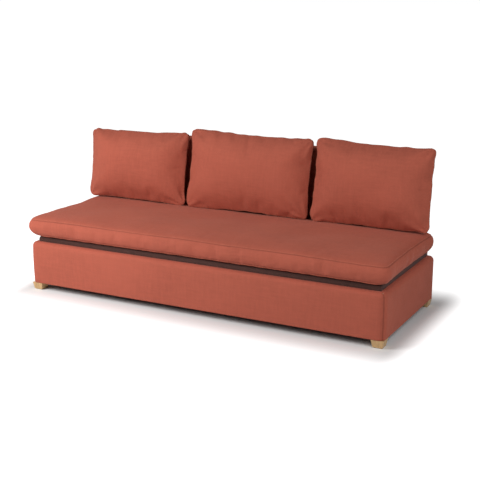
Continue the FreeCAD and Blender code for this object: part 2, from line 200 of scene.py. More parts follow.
def fabric_material(name, colour, pitch, sheen):
    """Plain-woven upholstery cloth: slubby threads, a faint nap, worn edges, and painted shade at the
    seams and on the back cushions' upper rims.
    """
    shader = Shader(name)
    surface = shader.surface
    weave = shader.weave(pitch)
    slub_along = shader.noise(60, (0.18, 1.6, 1.6), 4, 0.6)
    slub_across = shader.noise(60, (1.6, 0.5, 0.22), 4, 0.6)
    slub = shader.math("MULTIPLY", shader.math("ADD", slub_along, slub_across), 0.5)
    nap = shader.noise(3.2, (1, 1.4, 1.6), 3, 0.5)
    threads = shader.math("MULTIPLY_ADD", weave, 0.16, slub)
    base = shader.mix(shader.range(threads, -0.25, 1.25), tint(colour, 0.72), tint(colour, 1.28))
    base = shader.mix(shader.range(nap, 0.0, 1.0), base, tint(colour, 0.93))
    tone = shader.range(nap, 0.86, 1.14)
    shade = shader.node("CombineColor")
    for socket in shade.inputs[:3]:
        shader.put(socket, tone)
    toned = shader.mix(1.0, base, shade.outputs[0], "MULTIPLY")
    edge = shader.node("NewGeometry").outputs["Pointiness"]
    worn = shader.node("MapRange")
    worn.inputs["From Min"].default_value = 0.52
    worn.inputs["From Max"].default_value = 0.60
    worn.inputs["To Max"].default_value = 0.10
    shader.put(worn.inputs["Value"], edge)
    toned = shader.mix(worn.outputs["Result"], toned, tint(colour, 1.7))
    # Painted shade from the "seam" attribute: in seam grooves, between panels and along the back cushions'
    # upper rims
    seam = shader.node("Attribute", attribute_name="seam").outputs["Fac"]
    dark = shader.math("MULTIPLY", seam, 0.55)
    toned = shader.mix(dark, toned, tint(colour, 0.30))
    shader.put(surface.inputs["Base Color"], toned)
    shader.put(surface.inputs["Roughness"], shader.range(slub, 0.80, 0.96))
    surface.inputs["Specular IOR Level"].default_value = 0.22
    surface.inputs["Sheen Weight"].default_value = sheen
    surface.inputs["Sheen Roughness"].default_value = 0.45
    surface.inputs["Sheen Tint"].default_value = tint((0.95, 0.62, 0.50), 1.0)
    broad = shader.bump(shader.noise(26, (1, 1, 1), 3, 0.5), 0.004, 0.35)
    fine = shader.bump(threads, 0.0011, 0.75, broad)
    shader.put(surface.inputs["Normal"], fine)
    return shader.material


def wood_material(name, colour, grain_axis, gloss):
    """Straight-grained timber with darker growth lines, pores and a thin finish."""
    shader = Shader(name)
    surface = shader.surface
    stretch = [9.0, 9.0, 9.0]
    stretch[grain_axis] = 0.7
    bands = shader.noise(11, tuple(stretch), 5, 0.62)
    pores = shader.noise(95, tuple(value * 0.6 for value in stretch), 2, 0.7)
    broad = shader.noise(4, (1, 1, 1), 2, 0.5)
    tone = shader.math("MULTIPLY_ADD", broad, 0.35, shader.math("MULTIPLY", bands, 0.8))
    base = shader.mix(shader.range(tone, -0.3, 1.3), tint(colour, 0.58), tint(colour, 1.35))
    speck = shader.node("MapRange")
    speck.inputs["From Min"].default_value = 0.60
    speck.inputs["From Max"].default_value = 0.72
    speck.inputs["To Max"].default_value = 0.45
    shader.put(speck.inputs["Value"], pores)
    base = shader.mix(speck.outputs["Result"], base, tint(colour, 0.42))
    shader.put(surface.inputs["Base Color"], base)
    shader.put(surface.inputs["Roughness"], shader.range(bands, gloss - 0.08, gloss + 0.12))
    surface.inputs["Specular IOR Level"].default_value = 0.4
    shader.put(surface.inputs["Normal"], shader.bump(pores, 0.0006, 0.5))
    return shader.material


def mottled_material(name, colour, scale, spread, roughness, depth,
                     metallic=0.0, stretch=(1, 1, 1), sheen=0.0):
    """A surface whose tone, roughness and relief vary at one scale, such as felt or steel."""
    shader = Shader(name)
    surface = shader.surface
    fine = shader.noise(scale, stretch, 4, 0.6)
    broad = shader.noise(scale / 12, stretch, 2, 0.5)
    tone = shader.math("MULTIPLY_ADD", broad, 0.4, shader.math("MULTIPLY", fine, 0.6))
    darker, paler = tint(colour, 1 - spread), tint(colour, 1 + spread)
    shader.put(surface.inputs["Base Color"], shader.mix(shader.range(tone, -0.2, 1.2), darker, paler))
    smooth, rough = max(0.05, roughness - 0.1), min(1.0, roughness + 0.1)
    shader.put(surface.inputs["Roughness"], shader.range(fine, smooth, rough))
    surface.inputs["Metallic"].default_value = metallic
    surface.inputs["Sheen Weight"].default_value = sheen
    shader.put(surface.inputs["Normal"], shader.bump(fine, depth, 0.6))
    return shader.material


def strap_material(name, colour, pitch):
    """Close-woven tape with ribs across it."""
    shader = Shader(name)
    surface = shader.surface
    weave = shader.weave(pitch)
    wear = shader.noise(30, (1, 1, 1), 3, 0.6)
    tone = shader.math("MULTIPLY_ADD", weave, 0.3, wear)
    shader.put(surface.inputs["Base Color"],
               shader.mix(shader.range(tone, -0.2, 1.2), tint(colour, 0.65), tint(colour, 1.4)))
    shader.put(surface.inputs["Roughness"], shader.range(wear, 0.7, 0.92))
    surface.inputs["Sheen Weight"].default_value = 0.15
    shader.put(surface.inputs["Normal"], shader.bump(tone, 0.0008, 0.7))
    return shader.material


RUST = (0.452, 0.108, 0.067)
# Numbers after the colour: thread pitch and sheen for fabric, grain axis and gloss for wood, thread pitch
# for straps, and scale, spread, roughness and depth for what is mottled
materials = {
    "rust_fabric": fabric_material("rust_fabric", RUST, 0.0034, 0.10),
    "frame_wood": wood_material("frame_wood", (0.62, 0.47, 0.30), 0, 0.62),
    "foot_wood": wood_material("foot_wood", (0.56, 0.36, 0.17), 2, 0.40),
    "board": mottled_material("board", (0.50, 0.37, 0.24), 160, 0.25, 0.75, 0.0005),
    "steel": mottled_material("steel", (0.58, 0.58, 0.57), 220, 0.15, 0.32, 0.0001, 1.0, (0.1, 1, 1)),
    "webbing": strap_material("webbing", (0.12, 0.10, 0.09), 0.0026),
    "felt": mottled_material("felt", (0.36, 0.35, 0.34), 190, 0.35, 0.95, 0.0012, sheen=0.3),
    "foam": mottled_material("foam", (0.80, 0.74, 0.55), 420, 0.10, 0.95, 0.0008),
    "fibre": mottled_material("fibre", (0.85, 0.84, 0.80), 60, 0.08, 0.97, 0.003, sheen=0.4),
    # Very dark rust cloth for the dust cover and the seat platform; on the platform its darkness is partly
    # painted shade for the recess under the seat cushion
    "lining": mottled_material("lining", (0.060, 0.022, 0.016), 330, 0.4, 0.93, 0.0006, sheen=0.05),
    "zip_tape": strap_material("zip_tape", (0.30, 0.08, 0.05), 0.0016),
    "glide": mottled_material("glide", (0.07, 0.07, 0.07), 260, 0.25, 0.5, 0.0002),
    "thread": strap_material("thread", (0.52, 0.17, 0.10), 0.0012),
}
slots = {entry["node"]: entry["material_slot"] for entry in frame["record"]["subparts"]}
for name, node in nodes.items():
    node.data.materials.clear()
    node.data.materials.append(materials[slots[name]])


# Mesh helpers

def steps(length, pitch, edge):
    """Even steps over a length centred on 0, with one short step at each end, from -1 to 1."""
    count = 2 * max(2, round((length - 2 * edge) / pitch / 2))
    inner = np.linspace(-1 + 2 * edge / length, 1 - 2 * edge / length, count + 1)
    return np.concatenate([[-1.0], inner, [1.0]])


def lattice(axes):
    """Points and four-sided faces on the surface of a box, at the given steps along each axis."""
    last = [len(axis) - 1 for axis in axes]
    index = {}
    points = []
    faces = []

    def point(key):
        if key not in index:
            index[key] = len(points)
            points.append([axes[axis][key[axis]] for axis in range(3)])
        return index[key]

    for normal in range(3):
        a, b = (normal + 1) % 3, (normal + 2) % 3
        for side in (0, last[normal]):
            for i in range(last[a]):
                for j in range(last[b]):
                    corners = []
                    for di, dj in ((0, 0), (1, 0), (1, 1), (0, 1)):
                        key = [0, 0, 0]
                        key[normal], key[a], key[b] = side, i + di, j + dj
                        corners.append(point(tuple(key)))
                    faces.append(corners if side else corners[::-1])
    return np.array(points), faces


def make_piece(name, points, faces, material, smooth=True):
    mesh = bpy.data.meshes.new(name)
    mesh.from_pydata([tuple(p) for p in points], [], faces)
    mesh.update()
    mesh.polygons.foreach_set("use_smooth", [smooth] * len(mesh.polygons))
    piece = bpy.data.objects.new(name, mesh)
    scene.collection.objects.link(piece)
    mesh.materials.append(materials[material])
    return piece


def points_of(piece):
    flat = np.zeros(len(piece.data.vertices) * 3)
    piece.data.vertices.foreach_get("co", flat)
    return flat.reshape(-1, 3)


def move_points(piece, points):
    piece.data.vertices.foreach_set("co", np.asarray(points, float).ravel())
    piece.data.update()


def normals_of(piece):
    flat = np.zeros(len(piece.data.vertices) * 3)
    piece.data.vertices.foreach_get("normal", flat)
    return flat.reshape(-1, 3)


# Stores painted shade in the "seam" attribute, which darkens the fabric: shade in seam grooves and between
# panels, and along the back cushions' upper rims
def set_painted_shade(piece, values):
    layer = piece.data.attributes.new("seam", "FLOAT", "POINT")
    layer.data.foreach_set("value", np.clip(values, 0, 1).astype(np.float32))


def ripple(points, wavelength, seed, count=24):
    """Smooth uneven waves of about one wavelength, from about -1 to 1."""
    random = np.random.default_rng(seed)
    total = np.zeros(len(points))
    for _ in range(count):
        direction = random.normal(size=3)
        direction /= np.linalg.norm(direction)
        length = wavelength * random.uniform(0.7, 1.5)
        total += np.sin(points @ direction * 2 * math.pi / length + random.uniform(0, 2 * math.pi))
    return total / math.sqrt(count)


def finished(piece):
    """The piece's mesh as it shows, with its modifiers, as a search tree."""
    bpy.context.view_layer.update()
    graph = bpy.context.evaluated_depsgraph_get()
    return BVHTree.FromObject(piece, graph)


def soften(piece):
    smooth = piece.modifiers.new("Smooth", "SUBSURF")
    smooth.levels = smooth.render_levels = 1


# Cushions

def cushion_form(grid, size, corner, rolls, powers, pull, crown, spread, flat_below):
    """Puts a box's surface grid on a crowned form with rounded edges and drawn-in sides.

    The rolls and their powers, which set how square an edge is, are given for above and for below.
    """
    half = np.array(size) / 2
    narrow = min(half[0], half[1])
    u, v, w = grid.T
    roll = np.where(w < 0, rolls[1], rolls[0])
    power = np.where(w < 0, powers[1], powers[0])
    from_edge = np.minimum(half[0] * (1 - np.abs(u)), half[1] * (1 - np.abs(v)))
    along = np.clip(1 - from_edge / roll, 0, 1)
    up = np.abs(w)
    size_now = (along ** power + up ** power) ** (1 / power)
    along, up = along / size_now, up / size_now
    inset = np.where(from_edge < roll, roll * (1 - along), from_edge)
    ring_x = np.maximum(half[0] - from_edge, 1e-6)
    ring_y = np.maximum(half[1] - from_edge, 1e-6)
    share_x = np.clip(u * half[0] / ring_x, -1, 1)
    share_y = np.clip(v * half[1] / ring_y, -1, 1)
    wide_x, wide_y = half[0] - inset, half[1] - inset
    bend = np.maximum(corner * (1 - inset / narrow), 1e-6)
    x, y = share_x * wide_x, share_y * wide_y
    near_x = np.clip(x, -(wide_x - bend), wide_x - bend)
    near_y = np.clip(y, -(wide_y - bend), wide_y - bend)
    off_x, off_y = x - near_x, y - near_y
    reach = np.maximum(np.abs(off_x), np.abs(off_y))
    length = np.maximum(np.hypot(off_x, off_y), 1e-9)
    x = near_x + off_x / length * reach
    y = near_y + off_y / length * reach
    fade = 1 - inset / narrow
    x -= pull * fade * share_x * (1 - share_y ** 2)
    y -= pull * fade * share_y * (1 - share_x ** 2)
    rise = np.clip((inset - 0.25 * roll) / (roll + spread * (narrow - roll)), 0, 1)
    rise = rise * rise * (3 - 2 * rise)
    level = np.where(flat_below & (w < 0), half[2] * up, (half[2] - crown) * up + crown * rise)
    return np.stack([x, y, np.sign(w) * level], 1), inset


def inflate(piece, pins, pressure, slack, cap, frames=20):
    """Blows the cover up like a filled cushion, holding its seams, and limits how far any point goes."""
    start = points_of(piece)
    group = piece.vertex_groups.new(name="held")
    for weight in np.unique(np.round(pins, 2)):
        if weight > 0:
            chosen = np.nonzero(np.round(pins, 2) == weight)[0]
            group.add([int(index) for index in chosen], float(weight), "REPLACE")
    cloth = piece.modifiers.new("Cloth", "CLOTH")
    settings = cloth.settings
    settings.quality = 6
    settings.mass = 0.25
    settings.air_damping = 3.0
    settings.tension_stiffness = settings.compression_stiffness = 14
    settings.shear_stiffness = 6
    settings.bending_stiffness = 0.35
    settings.use_pressure = True
    settings.uniform_pressure_force = pressure
    settings.effector_weights.gravity = 0
    settings.vertex_group_mass = group.name
    settings.shrink_min = -slack
    cloth.point_cache.frame_start = 1
    cloth.point_cache.frame_end = frames
    for step in range(1, frames + 1):
        scene.frame_set(step)
    graph = bpy.context.evaluated_depsgraph_get()
    shown = piece.evaluated_get(graph).to_mesh()
    flat = np.zeros(len(shown.vertices) * 3)
    shown.vertices.foreach_get("co", flat)
    piece.evaluated_get(graph).to_mesh_clear()
    piece.modifiers.remove(cloth)
    piece.vertex_groups.remove(group)
    scene.frame_set(1)
    moved = flat.reshape(-1, 3) - start
    far = np.maximum(np.linalg.norm(moved, axis=1, keepdims=True), 1e-9)
    move_points(piece, start + moved / far * cap * np.tanh(far / cap))


def fit(points, size):
    """Scales a form about its middle so that it fills a box."""
    low, high = points.min(0), points.max(0)
    return (points - (low + high) / 2) * (np.array(size) / (high - low))


def seat_cushion():
    shrink = np.array([0.012, 0.012, 0.016])
    size = np.array(SEAT_SIZE) - shrink
    axes = [steps(size[0], 0.016, 0.006), steps(size[1], 0.016, 0.006), steps(size[2], 0.014, 0.006)]
    grid, faces = lattice(axes)
    form, inset = cushion_form(grid, size, corner=0.045, rolls=(0.042, 0.062), powers=(2.5, 1.9),
                               pull=0.009, crown=0.006, spread=0.5, flat_below=True)
    piece = make_piece("seat_cushion_cover", form, faces, "rust_fabric")
    u, v, w = grid.T
    border = (np.abs(u) > OUTER) | (np.abs(v) > OUTER)
    seam = border & (np.abs(w) > OUTER)
    pins = np.where(seam, 0.75, 0.0)
    pins = np.where((w < -OUTER) & (inset > 0.05), 1.0, pins)
    inflate(piece, pins, pressure=4.0, slack=0.012, cap=0.026)
    points = points_of(piece)
    firm = np.where(w > 0, 0.40, 1.0)
    points[:, 2] = form[:, 2] + firm * (points[:, 2] - form[:, 2])
    points[:, 2] = np.maximum(points[:, 2], form[:, 2].min())
    points = fit(points, SEAT_SIZE)
    move_points(piece, points)
    normal = normals_of(piece)
    near_seam = np.exp(-(np.minimum(inset, 0.2) / 0.05) ** 2)
    above = np.clip(w, 0, 1)
    waves = 0.0022 * ripple(points * (1, 1, 2), 0.34, 11) * (0.35 + above)
    for place in SEAT_PLACES:
        off_x, off_y = (points[:, 0] - place) / 0.23, (points[:, 1] + 0.06) / 0.2
        waves -= 0.005 * above * np.exp(-off_x ** 2 - off_y ** 2)
    puckers = 0.0013 * ripple(points * (1, 1, 0.2), 0.075, 12) * near_seam
    groove = np.where(seam, -0.0030, 0.0)
    points = points + normal * (np.where(w < -OUTER, 0, waves + puckers) + groove)[:, None]
    points[:, 2] = np.maximum(points[:, 2], -SEAT_SIZE[2] / 2)
    low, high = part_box("seat_cushion")
    points = points + np.array((low + high) / 2)
    move_points(piece, points)
    # Painted shade along the seams
    set_painted_shade(piece, np.where(seam, 1.0, 0.0))
    soften(piece)
    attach(piece, "seat")
    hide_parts("seat_cushion", "seat_cushion_core")
    return piece, grid


def corner_folds(points, size, seed):
    """Folds that run in from the corners, where the cover is drawn together."""
    random = np.random.default_rng(seed)
    total = np.zeros(len(points))
    for sign_x in (-1, 1):
        for sign_y in (-1, 1):
            off_x = sign_x * size[0] / 2 - points[:, 0]
            off_y = sign_y * size[1] / 2 - points[:, 1]
            far = np.hypot(off_x, off_y)
            turn = np.arctan2(np.abs(off_y), np.abs(off_x))
            reach = random.uniform(0.11, 0.17)
            wave = np.sin(random.uniform(9, 13) * turn + random.uniform(0, 2 * math.pi))
            total += 0.0042 * wave * np.exp(-(far / reach) ** 2) * np.clip(far / 0.05, 0, 1)
    return total


def back_cushion(side, index, seat_tree):
    name = "back_cushion_" + side
    low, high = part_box(name)
    full = np.array((high.x - low.x, BACK_HEIGHT, BACK_THICKNESS))
    size = full - np.array([0.016, 0.016, 0.030])
    axes = [steps(size[0], 0.013, 0.013), steps(size[1], 0.013, 0.013), steps(size[2], 0.012, 0.012)]
    grid, faces = lattice(axes)
    form, inset = cushion_form(grid, size, corner=0.042, rolls=(0.085, 0.085), powers=(2.0, 2.0),
                               pull=0.008, crown=0.020, spread=0.6, flat_below=False)
    piece = make_piece(name + "_cover", form, faces, "rust_fabric")
    u, v, w = grid.T
    border = (np.abs(u) > OUTER) | (np.abs(v) > OUTER)
    seam = border & (np.abs(w) < 1e-6)
    pins = np.where(seam, 0.7, 0.0)
    inflate(piece, pins, pressure=4.0, slack=0.02, cap=0.026)
    points = fit(points_of(piece), full)
    flank = np.clip(1 - (full[0] / 2 - np.abs(points[:, 0])) / 0.16, 0, 1)
    edge = np.clip(1 - (full[1] / 2 - np.abs(points[:, 1])) / 0.12, 0, 1)
    points[:, 2] *= (1 - 0.42 * flank ** 1.6) * (1 - 0.22 * edge ** 1.6)
    across = points[:, 0] / full[0] + 0.5
    upward = np.clip(points[:, 1] / full[1] + 0.5, 0, 1)
    sunk = SLUMP[side][0] + (SLUMP[side][1] - SLUMP[side][0]) * across
    points[:, 1] -= sunk * upward
    points[:, 2] *= 1 + 1.5 * np.maximum(sunk, 0) * (1 - upward)
    move_points(piece, points)
    normal = normals_of(piece)
    seed = 40 + 7 * index
    edge = np.exp(-(np.minimum(inset, 0.3) / 0.09) ** 2)
    waves = 0.0035 * ripple(points, 0.30, seed) * (1 - 0.5 * edge)
    puckers = 0.0022 * ripple(points * (1, 1, 0.15), 0.085, seed + 1) * edge
    groove = np.where(seam, -0.0035, 0.0)
    folds = corner_folds(points, full, seed + 2)
    points = points + normal * (waves + puckers + folds + groove)[:, None]
    turn = np.array(Matrix.Rotation(math.pi / 2 - LEAN, 3, "X"))
    points = points @ turn.T
    middle = np.array((low + high) / 2)
    points = points + middle
    # The lower edge settles on the seat, and the rear stays in front of the back
    points[:, 2] -= SETTLED * np.clip((middle[2] - points[:, 2]) / 0.2, 0, 1)
    for place in range(len(points)):
        x, y, z = points[place]
        if z < SEAT_SEARCH[0]:
            hit = seat_tree.ray_cast(Vector((x, y, SEAT_SEARCH[1])), Vector((0, 0, -1)))[0]
            if hit is not None:
                points[place, 2] = max(z, hit.z + SEAT_GAP)
    points[:, 1] = np.minimum(points[:, 1], BACK_FACE - REST_GAP)
    move_points(piece, points)
    # Painted shade darkens the edges, growing towards the top, so that mostly the upper rim darkens
    painted_rim_shade = 0.38 * np.exp(-(inset / 0.05) ** 2) * upward ** 2
    set_painted_shade(piece, np.where(seam, 1.0, painted_rim_shade))
    soften(piece)
    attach(piece, "cushion_" + side)
    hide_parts(name, name + "_core")
    return piece, grid


# Fixed covers

def strip_faces(rows, columns):
    """Faces of a grid whose points are listed row by row."""
    faces = []
    for row in range(rows - 1):
        for column in range(columns - 1):
            first = row * columns + column
            faces.append([first, first + 1, first + columns + 1, first + columns])
    return faces


def base_profile():
    """Inset and height of the base cover, from its lower fold to where it turns in under the seat."""
    fold = BASE_LOW + FOLD_GAP
    points = [(0.016, fold), (0.004, fold), (0.0006, BASE_LOW + 0.0012), (0.0, BASE_LOW + 0.005)]
    height = BASE_HIGH - BASE_ROUND
    for share in np.linspace(0, 1, 15)[1:]:
        points.append((0.0, BASE_LOW + 0.005 + share * (height - BASE_LOW - 0.005)))
    for turn in np.linspace(0, math.pi / 2, 6)[1:]:
        points.append((BASE_ROUND * (1 - math.cos(turn)), height + BASE_ROUND * math.sin(turn)))
    points.append((0.030, BASE_HIGH))
    points.append((TURN_IN, BASE_HIGH - FOLD_GAP))
    return points


def half_corner(sign, first):
    """Half of a rounded front corner: place and outward direction of each step."""
    centre = (sign * (BASE_HALF - BASE_CORNER), BASE_FRONT + BASE_CORNER)
    path = []
    for turn in np.linspace(0, math.pi / 4, 7):
        angle = turn if first else math.pi / 4 + turn
        out = (sign * math.sin(angle), -math.cos(angle))
        path.append((centre[0] + BASE_CORNER * out[0], centre[1] + BASE_CORNER * out[1], out[0], out[1]))
    return path


def base_panel(name, path, seed, seam_ends):
    profile = base_profile()
    spans = [math.hypot(b[0] - a[0], b[1] - a[1]) for a, b in zip(path, path[1:])]
    length = np.concatenate([[0], np.cumsum(spans)])
    ends = (length, length[-1] - length)
    seam = np.min([end for end, sewn in zip(ends, seam_ends) if sewn], axis=0)
    rear = np.min([np.ones(len(path))] + [end for end, sewn in zip(ends, seam_ends) if not sewn], axis=0)
    seam, rear = np.tile(seam, len(profile)), np.tile(rear, len(profile))
    points = np.array([(x - nx * inset, y - ny * inset, z)
                       for inset, z in profile for x, y, nx, ny in path])
    outward = np.array([(nx, ny, 0) for _ in profile for _, _, nx, ny in path])
    height = np.clip((points[:, 2] - BASE_LOW) / (BASE_HIGH - BASE_LOW), 0, 1)
    swell = np.sin(math.pi * height) ** 0.8 * (1 - np.exp(-(rear / 0.025) ** 2))
    lower_pucker = np.exp(-((points[:, 2] - BASE_LOW) / 0.05) ** 2)
    uneven = 0.0010 * swell * ripple(points, 0.32, seed)
    uneven += 0.0007 * lower_pucker * swell ** 0.3 * ripple(points * (1, 1, 0.25), 0.07, seed + 1)
    off = 0.0030 * swell + uneven * (1 - np.exp(-(seam / 0.02) ** 2))
    off -= 0.0022 * np.exp(-(seam / 0.004) ** 2)
    points = points + outward * off[:, None]
    piece = make_piece(name + "_panel", points, strip_faces(len(profile), len(path)), "rust_fabric")
    # Painted shade at the seams where the panels meet
    set_painted_shade(piece, np.exp(-(seam / 0.003) ** 2))
    soften(piece)
    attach(piece, "base")
    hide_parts(name, name.replace("cover", "foam"))
    return piece


def straight(start, end, out, pitch=0.018):
    """Places between two ends of a straight stretch, each with its outward direction."""
    run_x, run_y = end[0] - start[0], end[1] - start[1]
    count = max(2, round(math.hypot(run_x, run_y) / pitch))
    shares = np.linspace(0, 1, count + 1)[1:-1]
    return [(start[0] + share * run_x, start[1] + share * run_y, *out) for share in shares]


def base_covers():
    side = BASE_HALF - BASE_CORNER
    left = half_corner(-1, True)[::-1]
    right = half_corner(1, True)
    front = left + straight((-side, BASE_FRONT), (side, BASE_FRONT), (0, -1)) + right
    base_panel("front_cover", front, 61, (True, True))
    for name, sign, seed in (("right_end_cover", 1, 71), ("left_end_cover", -1, 81)):
        path = half_corner(sign, False)
        corner = (sign * BASE_HALF, BASE_FRONT + BASE_CORNER)
        rear = (sign * BASE_HALF, BASE_REAR)
        path += straight(corner, rear, (sign, 0)) + [(rear[0], rear[1], sign, 0)]
        if sign < 0:
            path = path[::-1]
        base_panel(name, path, seed, (sign > 0, sign < 0))
    rear_cover()


def rear_cover():
    """Flat cloth over the base's rear, up behind the platform."""
    fold = BASE_LOW + FOLD_GAP
    rows = [(BASE_HALF, BASE_REAR - 0.012, fold), (BASE_HALF, BASE_REAR - 0.002, fold),
            (BASE_HALF, BASE_REAR, BASE_LOW + 0.004)]
    height = BASE_HIGH - BASE_ROUND
    for z in np.linspace(BASE_LOW + 0.004, height, 12)[1:]:
        rows.append((BASE_HALF, BASE_REAR, z))
    for turn in np.linspace(0, math.pi / 2, 6)[1:]:
        wide = BASE_HALF - BASE_ROUND * (1 - math.cos(turn))
        rows.append((wide, BASE_REAR, height + BASE_ROUND * math.sin(turn)))
    narrow = BASE_HALF - TURN_IN
    rows += [(narrow, BASE_REAR, BASE_HIGH), (narrow, BASE_REAR, DECK_TOP - 0.003),
             (narrow, BASE_REAR - 0.0008, DECK_TOP - 0.0004),
             (narrow, BASE_REAR - 0.003, DECK_TOP - 0.0002)]
    columns = np.linspace(1, -1, 91)
    points = np.array([(share * wide, y, z) for wide, y, z in rows for share in columns])
    piece = make_piece("rear_cover_panel", points, strip_faces(len(rows), len(columns)), "rust_fabric")
    set_painted_shade(piece, np.zeros(len(points)))
    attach(piece, "base")
    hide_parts("rear_cover")


def deck_panel():
    """Padded platform under the seat cushion: very dark rust cloth over felt, a little sunk between its
    rails; the cloth's darkness is partly painted shade for the recess.
    """
    low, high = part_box("deck_cloth")
    low.z -= DECK_SKIRT
    size = np.array(high - low)
    axes = [steps(size[0], 0.018, 0.004), steps(size[1], 0.018, 0.004), steps(size[2], 0.005, 0.003)]
    grid, faces = lattice(axes)
    form, inset = cushion_form(grid, size, corner=0.003, rolls=(0.007, 0.002), powers=(2.2, 4.0),
                               pull=0.0, crown=0.0, spread=0.5, flat_below=True)
    above = np.clip(grid[:, 2], 0, 1) ** 4 * np.clip((inset - 0.03) / 0.15, 0, 1)
    form[:, 2] -= above * (0.0035 + 0.0009 * ripple(form * (1, 0.35, 1), 0.16, 101))
    piece = make_piece("deck_cloth_panel", form + np.array((low + high) / 2), faces, "lining")
    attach(piece, "base")
    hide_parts("deck_cloth", "deck_pad")
    edge = DECK_STITCH_EDGE
    left, right, front, rear = low.x + edge, high.x - edge, low.y + edge, high.y - edge
    corners = [(left, front), (right, front), (right, rear), (left, rear), (left, front)]
    line = [(x, y, high.z) for x, y in corners]
    stitch_row("deck_cloth_stitches", "base", finished(piece), line, inward, 0.0)


def dust_sheet():
    """Thin cloth that closes the underside, sagging a little between the rails."""
    low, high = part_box("dust_cover")
    across = np.linspace(low.x, high.x, 90)
    deep = np.linspace(low.y, high.y, 34)
    points = np.array([(x, y, high.z - FOLD_GAP) for y in deep for x in across])
    from_edge = np.minimum(np.minimum(points[:, 0] - low.x, high.x - points[:, 0]),
                           np.minimum(points[:, 1] - low.y, high.y - points[:, 1]))
    sag = np.clip((from_edge - 0.05) / 0.2, 0, 1)
    points[:, 2] -= sag * (0.0030 + 0.0008 * ripple(points, 0.20, 111))
    faces = [face[::-1] for face in strip_faces(len(deep), len(across))]
    piece = make_piece("dust_cover_sheet", points, faces, "lining")
    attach(piece, "base")
    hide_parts("dust_cover")


def back_lines(inset, low):
    """Places across the back and up it, close together at its rounded upper corners."""
    wide, high, bend = BACK_HALF - inset, BACK_TOP - inset, BACK_CORNER - inset
    corner = np.linspace(0, bend, 5)
    middle = np.linspace(bend - wide, wide - bend, 103)[1:-1]
    across = np.concatenate([corner - wide, middle, wide - corner[::-1]])
    upward = np.concatenate([np.linspace(low, high - bend, 36)[:-1], high - corner[::-1]])
    return across, upward


def rounded(x, z, inset):
    """A place on the back, drawn in where it lies in a rounded corner."""
    wide, high, bend = BACK_HALF - inset, BACK_TOP - inset, BACK_CORNER - inset
    near = np.array((np.clip(x, bend - wide, wide - bend), min(z, high - bend)))
    off = np.array((x, z)) - near
    reach = np.abs(off).max()
    if reach > 0:
        off = off * reach / np.linalg.norm(off)
    return tuple(near + off)


def back_path(inset, low):
    """Outline of the back, up one side, over the top and down the other."""
    across, upward = back_lines(inset, low)
    path = [(across[0], z) for z in upward]
    path += [(x, upward[-1]) for x in across[1:-1]]
    path += [(across[-1], z) for z in upward[::-1]]
    return [rounded(x, z, inset) for x, z in path]


def close_outline(points, faces, first, inset, low, y, turned):
    """Fills an outline of the back with a flat sheet, and returns its lowest row."""
    across, upward = back_lines(inset, low)
    rows, columns = len(upward), len(across)
    index = np.zeros((rows, columns), int)
    index[:, 0] = first + np.arange(rows)
    index[-1, 1:-1] = first + rows + np.arange(columns - 2)
    index[:, -1] = first + 2 * rows + columns - 3 - np.arange(rows)
    for row in range(rows - 1):
        for column in range(1, columns - 1):
            index[row, column] = len(points)
            x, z = rounded(across[column], upward[row], inset)
            points.append((x, y, z))
    for row in range(rows - 1):
        lower, upper = index[row], index[row + 1]
        for column in range(columns - 1):
            face = [lower[column], lower[column + 1], upper[column + 1], upper[column]]
            faces.append([int(corner) for corner in (face[::-1] if turned else face)])
    return [int(corner) for corner in index[0]]


def back_covers():
    behind = BACK_REAR - 0.003
    foot = DECK_TOP + 0.001
    profile = [(PADDING, BACK_FACE)]
    for turn in np.linspace(0, math.pi / 2, 6)[1:]:
        profile.append((PADDING * (1 - math.sin(turn)), BACK_FACE + PADDING * (1 - math.cos(turn))))
    profile += [(0.0, y) for y in np.linspace(BACK_FACE + PADDING, behind, 5)[1:]]
    legs = np.linspace(BACK_UNDERSIDE, DECK_TOP, 16)
    points = []
    for inset, y in profile:
        wide = BACK_HALF - inset
        tucked = max(y, BASE_REAR + REST_GAP)
        points += [(-wide, tucked, z) for z in legs]
        points += [(x, y, z) for x, z in back_path(inset, foot)]
        points += [(wide, tucked, z) for z in legs[::-1]]
    columns = len(points) // len(profile)
    faces = [face[::-1] for face in strip_faces(len(profile), columns)]
    close_outline(points, faces, len(legs), PADDING, foot, BACK_FACE, False)
    points = np.array(points)
    piece = make_piece("inside_back_panel", points, faces, "rust_fabric")
    # Painted shade along the seam where the inside back meets the outside back
    set_painted_shade(piece, np.exp(-((behind - points[:, 1]) / 0.003) ** 2))
    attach(piece, "base")
    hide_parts("inside_back_cover")
    outside_back(behind)


